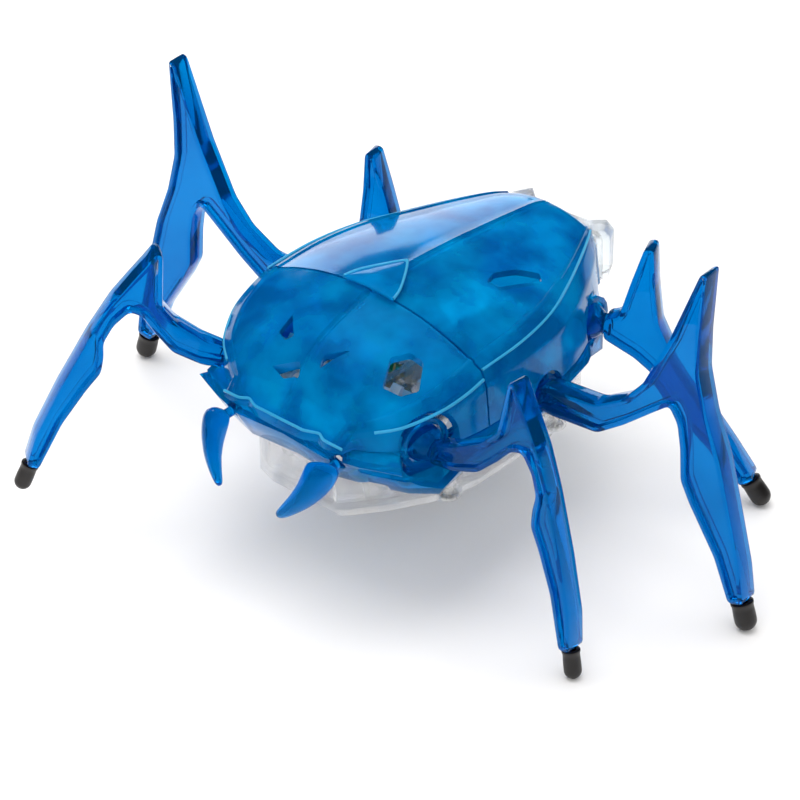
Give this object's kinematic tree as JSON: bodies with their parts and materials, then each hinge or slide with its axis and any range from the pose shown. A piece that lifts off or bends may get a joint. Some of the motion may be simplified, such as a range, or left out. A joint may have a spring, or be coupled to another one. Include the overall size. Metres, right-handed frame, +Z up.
{
  "type": "six-legged walking toy robot",
  "caption": "Small beetle-shaped walking robot: clear tinted shell, geared cranks that row jointed blade legs with rubber boots, and a clear belly tray.",
  "frame": {"origin": "on the ground, under the middle of the bounding box", "axes": "+X to the robot's left, -Y forward, +Z up"},
  "size_m": [0.1115, 0.0775, 0.0534],
  "materials": {
    "belly_tray": "colourless clear, moulded glossy",
    "middle_frame": "clear tinted, moulded glossy",
    "head_shield": "clear tinted, moulded glossy",
    "wing_covers": "clear tinted, moulded glossy",
    "shoulder_plate": "clear tinted, moulded glossy",
    "tail_shell": "colourless clear, moulded glossy",
    "jaw_left": "clear tinted, moulded glossy",
    "jaw_right": "clear tinted, moulded glossy",
    "nose_peg": "clear tinted, moulded glossy",
    "gear_plate_left": "colourless clear, moulded glossy",
    "gear_plate_right": "colourless clear, moulded glossy",
    "motor_can": "bright plated",
    "motor_end_cap": "moulded satin",
    "compound_pin": "bright plated",
    "idler_pin_front_left": "bright plated",
    "idler_pin_front_right": "bright plated",
    "idler_pin_rear_left": "bright plated",
    "idler_pin_rear_right": "bright plated",
    "battery_door": "colourless clear, moulded glossy",
    "door_screw": "bright plated",
    "button_cell_1": "bright plated",
    "button_cell_2": "bright plated",
    "battery_contact_front": "plated spring strip",
    "battery_contact_rear": "plated spring strip",
    "circuit_board": "glass-filled board with green mask",
    "switch_housing": "bright plated",
    "body_screw_front_left": "bright plated",
    "body_screw_front_right": "bright plated",
    "body_screw_rear_left": "bright plated",
    "body_screw_rear_right": "bright plated",
    "cross_axle": "bright plated",
    "final_gear": "moulded satin",
    "crank_middle_left": "moulded satin",
    "crank_middle_right": "moulded satin",
    "crank_front_left": "moulded satin",
    "idler_front_left": "moulded satin",
    "crank_front_right": "moulded satin",
    "idler_front_right": "moulded satin",
    "crank_rear_left": "moulded satin",
    "idler_rear_left": "moulded satin",
    "crank_rear_right": "moulded satin",
    "idler_rear_right": "moulded satin",
    "compound_gear": "moulded satin",
    "motor_pinion": "machined",
    "leg_front_left": "clear tinted, moulded glossy",
    "boot_front_left": "matt moulded rubber",
    "leg_front_right": "clear tinted, moulded glossy",
    "boot_front_right": "matt moulded rubber",
    "leg_middle_left": "clear tinted, moulded glossy",
    "boot_middle_left": "matt moulded rubber",
    "leg_middle_right": "clear tinted, moulded glossy",
    "boot_middle_right": "matt moulded rubber",
    "leg_rear_left": "clear tinted, moulded glossy",
    "boot_rear_left": "matt moulded rubber",
    "leg_rear_right": "clear tinted, moulded glossy",
    "boot_rear_right": "matt moulded rubber",
    "switch_knob": "moulded satin"
  },
  "bodies": {
    "chassis": {"belly_tray": "belly_tray", "middle_frame": "middle_frame", "head_shield": "head_shield", "wing_covers": "wing_covers", "shoulder_plate": "shoulder_plate", "tail_shell": "tail_shell", "jaw_left": "jaw_left", "jaw_right": "jaw_right", "nose_peg": "nose_peg", "gear_plate_left": "gear_plate_left", "gear_plate_right": "gear_plate_right", "motor_can": "motor_can", "motor_end_cap": "motor_end_cap", "compound_pin": "compound_pin", "idler_pin_front_left": "idler_pin_front_left", "idler_pin_front_right": "idler_pin_front_right", "idler_pin_rear_left": "idler_pin_rear_left", "idler_pin_rear_right": "idler_pin_rear_right", "battery_door": "battery_door", "door_screw": "door_screw", "button_cell_1": "button_cell_1", "button_cell_2": "button_cell_2", "battery_contact_front": "battery_contact_front", "battery_contact_rear": "battery_contact_rear", "circuit_board": "circuit_board", "switch_housing": "switch_housing", "body_screw_front_left": "body_screw_front_left", "body_screw_front_right": "body_screw_front_right", "body_screw_rear_left": "body_screw_rear_left", "body_screw_rear_right": "body_screw_rear_right"},
    "drive": {"cross_axle": "cross_axle", "final_gear": "final_gear", "crank_middle_left": "crank_middle_left", "crank_middle_right": "crank_middle_right"},
    "crank_front_left": {"crank_front_left": "crank_front_left"},
    "idler_front_left": {"idler_front_left": "idler_front_left"},
    "crank_front_right": {"crank_front_right": "crank_front_right"},
    "idler_front_right": {"idler_front_right": "idler_front_right"},
    "crank_rear_left": {"crank_rear_left": "crank_rear_left"},
    "idler_rear_left": {"idler_rear_left": "idler_rear_left"},
    "crank_rear_right": {"crank_rear_right": "crank_rear_right"},
    "idler_rear_right": {"idler_rear_right": "idler_rear_right"},
    "compound_gear": {"compound_gear": "compound_gear"},
    "motor_pinion": {"motor_pinion": "motor_pinion"},
    "leg_front_left": {"leg_front_left": "leg_front_left", "boot_front_left": "boot_front_left"},
    "leg_front_right": {"leg_front_right": "leg_front_right", "boot_front_right": "boot_front_right"},
    "leg_middle_left": {"leg_middle_left": "leg_middle_left", "boot_middle_left": "boot_middle_left"},
    "leg_middle_right": {"leg_middle_right": "leg_middle_right", "boot_middle_right": "boot_middle_right"},
    "leg_rear_left": {"leg_rear_left": "leg_rear_left", "boot_rear_left": "boot_rear_left"},
    "leg_rear_right": {"leg_rear_right": "leg_rear_right", "boot_rear_right": "boot_rear_right"},
    "switch_knob": {"switch_knob": "switch_knob"}
  },
  "joints": [
    {"name": "drive_spin", "type": "hinge", "parent": "chassis", "child": "drive", "pos_m": [0, 0.0082, 0.024], "axis": [1, 0, 0], "continuous": true},
    {"name": "crank_front_left_spin", "type": "hinge", "parent": "chassis", "child": "crank_front_left", "pos_m": [0.0086, -0.0124, 0.025], "axis": [1, 0, 0], "continuous": true},
    {"name": "idler_front_left_spin", "type": "hinge", "parent": "chassis", "child": "idler_front_left", "pos_m": [0.0086, -0.00226, 0.02129], "axis": [1, 0, 0], "continuous": true},
    {"name": "crank_front_right_spin", "type": "hinge", "parent": "chassis", "child": "crank_front_right", "pos_m": [-0.0086, -0.0124, 0.025], "axis": [1, 0, 0], "continuous": true},
    {"name": "idler_front_right_spin", "type": "hinge", "parent": "chassis", "child": "idler_front_right", "pos_m": [-0.0086, -0.00226, 0.02129], "axis": [1, 0, 0], "continuous": true},
    {"name": "crank_rear_left_spin", "type": "hinge", "parent": "chassis", "child": "crank_rear_left", "pos_m": [0.0086, 0.0242, 0.026], "axis": [1, 0, 0], "continuous": true},
    {"name": "idler_rear_left_spin", "type": "hinge", "parent": "chassis", "child": "idler_rear_left", "pos_m": [0.0086, 0.01649, 0.02266], "axis": [1, 0, 0], "continuous": true},
    {"name": "crank_rear_right_spin", "type": "hinge", "parent": "chassis", "child": "crank_rear_right", "pos_m": [-0.0086, 0.0242, 0.026], "axis": [1, 0, 0], "continuous": true},
    {"name": "idler_rear_right_spin", "type": "hinge", "parent": "chassis", "child": "idler_rear_right", "pos_m": [-0.0086, 0.01649, 0.02266], "axis": [1, 0, 0], "continuous": true},
    {"name": "compound_spin", "type": "hinge", "parent": "chassis", "child": "compound_gear", "pos_m": [0, 0.00214, 0.0275], "axis": [1, 0, 0], "continuous": true},
    {"name": "motor_spin", "type": "hinge", "parent": "chassis", "child": "motor_pinion", "pos_m": [0, -0.00462, 0.02569], "axis": [1, 0, 0], "continuous": true},
    {"name": "leg_front_left_swing", "type": "hinge", "parent": "crank_front_left", "child": "leg_front_left", "pos_m": [0.0162, -0.0124, 0.025], "axis": [0.8844, 0.4506, -0.1219], "continuous": true},
    {"name": "leg_front_right_swing", "type": "hinge", "parent": "crank_front_right", "child": "leg_front_right", "pos_m": [-0.0162, -0.0124, 0.025], "axis": [0.8844, 0.4506, -0.1219], "continuous": true},
    {"name": "leg_middle_left_swing", "type": "hinge", "parent": "drive", "child": "leg_middle_left", "pos_m": [0.017, 0.0082, 0.024], "axis": [0.9976, 0.0698, 0], "continuous": true},
    {"name": "leg_middle_right_swing", "type": "hinge", "parent": "drive", "child": "leg_middle_right", "pos_m": [-0.017, 0.0082, 0.024], "axis": [0.9976, 0.0698, 0], "continuous": true},
    {"name": "leg_rear_left_swing", "type": "hinge", "parent": "crank_rear_left", "child": "leg_rear_left", "pos_m": [0.0148, 0.0242, 0.026], "axis": [0.9449, 0.3254, -0.0349], "continuous": true},
    {"name": "leg_rear_right_swing", "type": "hinge", "parent": "crank_rear_right", "child": "leg_rear_right", "pos_m": [-0.0148, 0.0242, 0.026], "axis": [0.9449, 0.3254, 0.0349], "continuous": true},
    {"name": "switch_slide", "type": "slide", "parent": "chassis", "child": "switch_knob", "axis": [1, 0, 0], "range_m": [-0.0015, 0.0015]}
  ],
  "couplings": [
    {"joint": "crank_front_left_spin", "follows": "drive_spin", "ratio": 1},
    {"joint": "idler_front_left_spin", "follows": "drive_spin", "ratio": -0.8},
    {"joint": "crank_front_right_spin", "follows": "drive_spin", "ratio": 1},
    {"joint": "idler_front_right_spin", "follows": "drive_spin", "ratio": -0.8},
    {"joint": "crank_rear_left_spin", "follows": "drive_spin", "ratio": 1},
    {"joint": "idler_rear_left_spin", "follows": "drive_spin", "ratio": -1.3333},
    {"joint": "crank_rear_right_spin", "follows": "drive_spin", "ratio": 1},
    {"joint": "idler_rear_right_spin", "follows": "drive_spin", "ratio": -1.3333},
    {"joint": "compound_spin", "follows": "drive_spin", "ratio": -2.5},
    {"joint": "motor_spin", "follows": "drive_spin", "ratio": 6.25},
    {"joint": "leg_front_left_swing", "follows": "drive_spin", "ratio": -1},
    {"joint": "leg_front_right_swing", "follows": "drive_spin", "ratio": -1},
    {"joint": "leg_middle_left_swing", "follows": "drive_spin", "ratio": -1},
    {"joint": "leg_middle_right_swing", "follows": "drive_spin", "ratio": -1},
    {"joint": "leg_rear_left_swing", "follows": "drive_spin", "ratio": -1},
    {"joint": "leg_rear_right_swing", "follows": "drive_spin", "ratio": -1}
  ]
}
